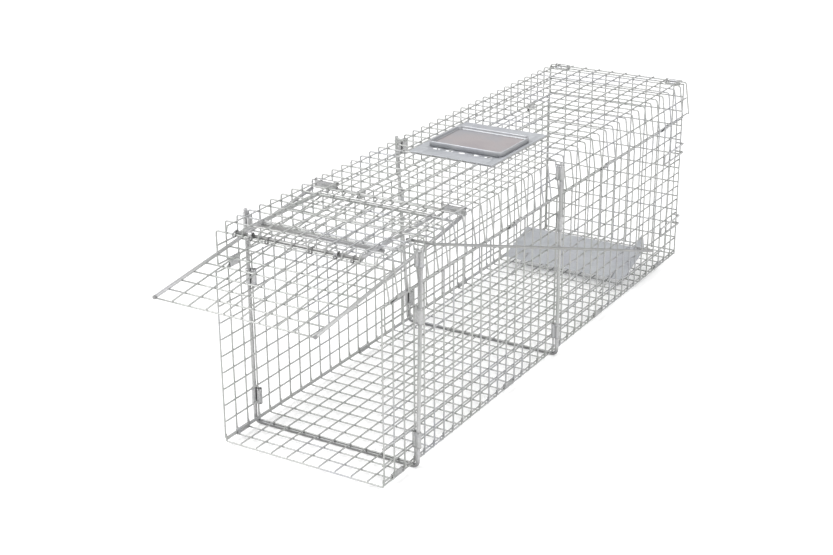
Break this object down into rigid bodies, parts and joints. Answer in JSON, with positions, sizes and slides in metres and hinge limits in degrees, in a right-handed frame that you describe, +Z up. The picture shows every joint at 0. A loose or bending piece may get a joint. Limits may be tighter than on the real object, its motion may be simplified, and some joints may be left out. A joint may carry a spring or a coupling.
{
  "type": "live catch trap",
  "caption": "One-door wire mesh live catch trap, set: sloping door held open by a trigger rod from a floor treadle, with lock frame, hoops, clips and carrying plate.",
  "frame": {"origin": "middle of the base of the whole set trap, on the ground under the hoops", "axes": "+X to the right side, where the trigger rod is; +Y from the doorway to the back; +Z up"},
  "size_m": [0.2808, 1.1018, 0.3289],
  "materials": {
    "wire_mesh": "galvanised satin",
    "rod": "zinc plated satin",
    "clip_strip": "zinc plated strip",
    "sheet": "galvanised sheet"
  },
  "bodies": {
    "cage": {"door_hinge_left_sleeve": "clip_strip", "door_hinge_right_sleeve": "clip_strip", "floor_mesh": "wire_mesh", "front_hoop": "rod", "front_hoop_left_lower_sleeve": "clip_strip", "front_hoop_left_middle_sleeve": "clip_strip", "front_hoop_left_upper_sleeve": "clip_strip", "front_hoop_right_lower_sleeve": "clip_strip", "front_hoop_right_middle_sleeve": "clip_strip", "front_hoop_right_upper_sleeve": "clip_strip", "handle_plate": "sheet", "handle_rim": "rod", "left_bottom_sleeve_1": "clip_strip", "left_bottom_sleeve_2": "clip_strip", "left_bottom_sleeve_3": "clip_strip", "left_bottom_sleeve_4": "clip_strip", "left_top_sleeve_1": "clip_strip", "left_top_sleeve_2": "clip_strip", "left_top_sleeve_3": "clip_strip", "left_top_sleeve_4": "clip_strip", "left_wall_mesh": "wire_mesh", "lock_pivot_left_ring": "clip_strip", "lock_pivot_right_ring": "clip_strip", "middle_hoop": "rod", "middle_hoop_left_lower_sleeve": "clip_strip", "middle_hoop_left_middle_sleeve": "clip_strip", "middle_hoop_left_upper_sleeve": "clip_strip", "middle_hoop_right_lower_sleeve": "clip_strip", "middle_hoop_right_middle_sleeve": "clip_strip", "middle_hoop_right_upper_sleeve": "clip_strip", "rear_lower_hook": "rod", "rear_panel_mesh": "wire_mesh", "rear_top_left_sleeve": "clip_strip", "rear_top_right_sleeve": "clip_strip", "rear_upper_hook": "rod", "right_bottom_sleeve_1": "clip_strip", "right_bottom_sleeve_2": "clip_strip", "right_bottom_sleeve_3": "clip_strip", "right_bottom_sleeve_4": "clip_strip", "right_top_sleeve_1": "clip_strip", "right_top_sleeve_2": "clip_strip", "right_top_sleeve_3": "clip_strip", "right_top_sleeve_4": "clip_strip", "right_wall_mesh": "wire_mesh", "roof_left_edge": "wire_mesh", "roof_mesh": "wire_mesh", "roof_right_edge": "wire_mesh"},
    "door": {"door_catch": "rod", "door_hinge_rod": "rod", "door_left_rod": "rod", "door_mesh": "wire_mesh", "door_right_rod": "rod"},
    "lock": {"lock_cross_bar": "rod", "lock_frame": "rod", "lock_pivot_bar": "rod"},
    "treadle": {"treadle_left_hook": "rod", "treadle_plate": "sheet", "treadle_right_hook": "rod"},
    "trigger": {"trigger_rod": "rod"}
  },
  "joints": [
    {"name": "door_swing", "type": "hinge", "parent": "cage", "child": "door", "pos_m": [-0.00414, -0.19709, 0.30826], "axis": [1, 0, 0], "range_deg": [0, 49.4]},
    {"name": "lock_swing", "type": "hinge", "parent": "cage", "child": "lock", "pos_m": [-0.00414, -0.41158, 0.31111], "axis": [1, 0, 0], "range_deg": [-9.9, 0]},
    {"name": "treadle_tilt", "type": "hinge", "parent": "cage", "child": "treadle", "pos_m": [-0.00566, 0.31802, 0.00676], "axis": [1, 0, 0], "range_deg": [-12, 0]},
    {"name": "trigger_swing", "type": "hinge", "parent": "cage", "child": "trigger", "pos_m": [0.13805, -0.46938, -0.18884], "axis": [1, 0, 0], "range_deg": [-1.29, 0]}
  ],
  "couplings": [
    {"joint": "lock_swing", "follows": "door_swing", "ratio": -0.2},
    {"joint": "trigger_swing", "follows": "treadle_tilt", "ratio": 0.1071}
  ]
}
